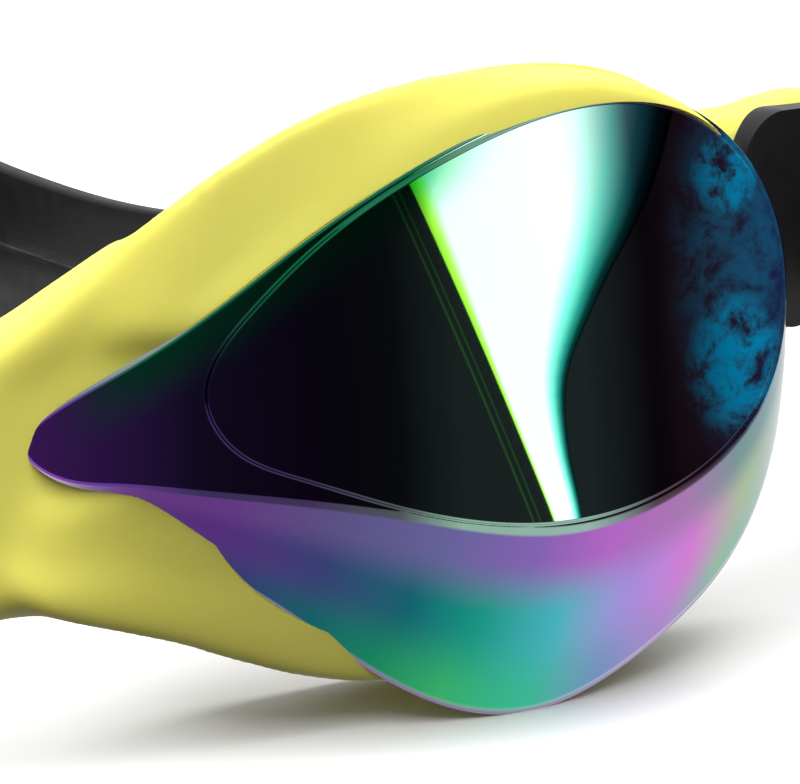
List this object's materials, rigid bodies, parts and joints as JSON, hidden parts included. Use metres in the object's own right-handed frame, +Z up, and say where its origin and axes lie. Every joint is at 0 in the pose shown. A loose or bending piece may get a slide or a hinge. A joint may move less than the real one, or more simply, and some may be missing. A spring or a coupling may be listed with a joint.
{
  "type": "swim goggles",
  "caption": "Racing swim goggles: two swept mirrored lenses in a one-piece silicone frame, with swivelling side clips and a split silicone strap.",
  "frame": {"origin": "centre of the bottom of the whole object's box, on the surface it stands on", "axes": "+X to the wearer's left across both lenses, -Y out of the lenses, +Z up"},
  "size_m": [0.1478, 0.1058, 0.0457],
  "materials": {
    "frame_silicone": "translucent satin silicone",
    "seal_silicone": "soft satin silicone",
    "lens_mirror": "mirror-coated polycarbonate, dark blue-green to purple",
    "carrier_plastic": "smoked gloss",
    "hard_black": "fine satin moulding",
    "button_plastic": "satin with ribs",
    "pin_steel": "brushed",
    "spring_steel": "bright",
    "strap_silicone": "satin silicone",
    "keeper_silicone": "satin silicone"
  },
  "bodies": {
    "goggles": {"frame": "frame_silicone", "left_lens": "lens_mirror", "left_lens_carrier": "carrier_plastic", "left_face_seal": "seal_silicone", "left_outrigger": "hard_black", "left_swivel_pin": "pin_steel", "right_lens": "lens_mirror", "right_lens_carrier": "carrier_plastic", "right_face_seal": "seal_silicone", "right_outrigger": "hard_black", "right_swivel_pin": "pin_steel"},
    "strap_assembly": {"head_strap": "strap_silicone", "left_clip_housing": "hard_black", "left_clip_cover": "hard_black", "left_button_spring": "spring_steel", "right_clip_housing": "hard_black", "right_clip_cover": "hard_black", "right_button_spring": "spring_steel"},
    "left_button": {"left_release_button": "button_plastic"},
    "left_keeper": {"left_strap_keeper": "keeper_silicone"},
    "right_button": {"right_release_button": "button_plastic"},
    "right_keeper": {"right_strap_keeper": "keeper_silicone"}
  },
  "joints": [
    {"name": "strap_tilt", "type": "hinge", "parent": "goggles", "child": "strap_assembly", "pos_m": [0, -0.02387, 0.0305], "axis": [1, 0, 0], "range_deg": [-25, 60]},
    {"name": "left_release", "type": "slide", "parent": "strap_assembly", "child": "left_button", "axis": [-1, 0, 0], "range_m": [0, 0.0012], "stiffness_N_per_m": 800, "springref_m": -0.0005, "deforming": ["left_button_spring"]},
    {"name": "left_keeper_slide", "type": "slide", "parent": "strap_assembly", "child": "left_keeper", "axis": [0, 0.9511, -0.309], "range_m": [-0.0008, 0.0065]},
    {"name": "right_release", "type": "slide", "parent": "strap_assembly", "child": "right_button", "axis": [1, 0, 0], "range_m": [0, 0.0012], "stiffness_N_per_m": 800, "springref_m": -0.0005, "deforming": ["right_button_spring"]},
    {"name": "right_keeper_slide", "type": "slide", "parent": "strap_assembly", "child": "right_keeper", "axis": [0, 0.9511, -0.309], "range_m": [-0.0008, 0.0065]}
  ]
}
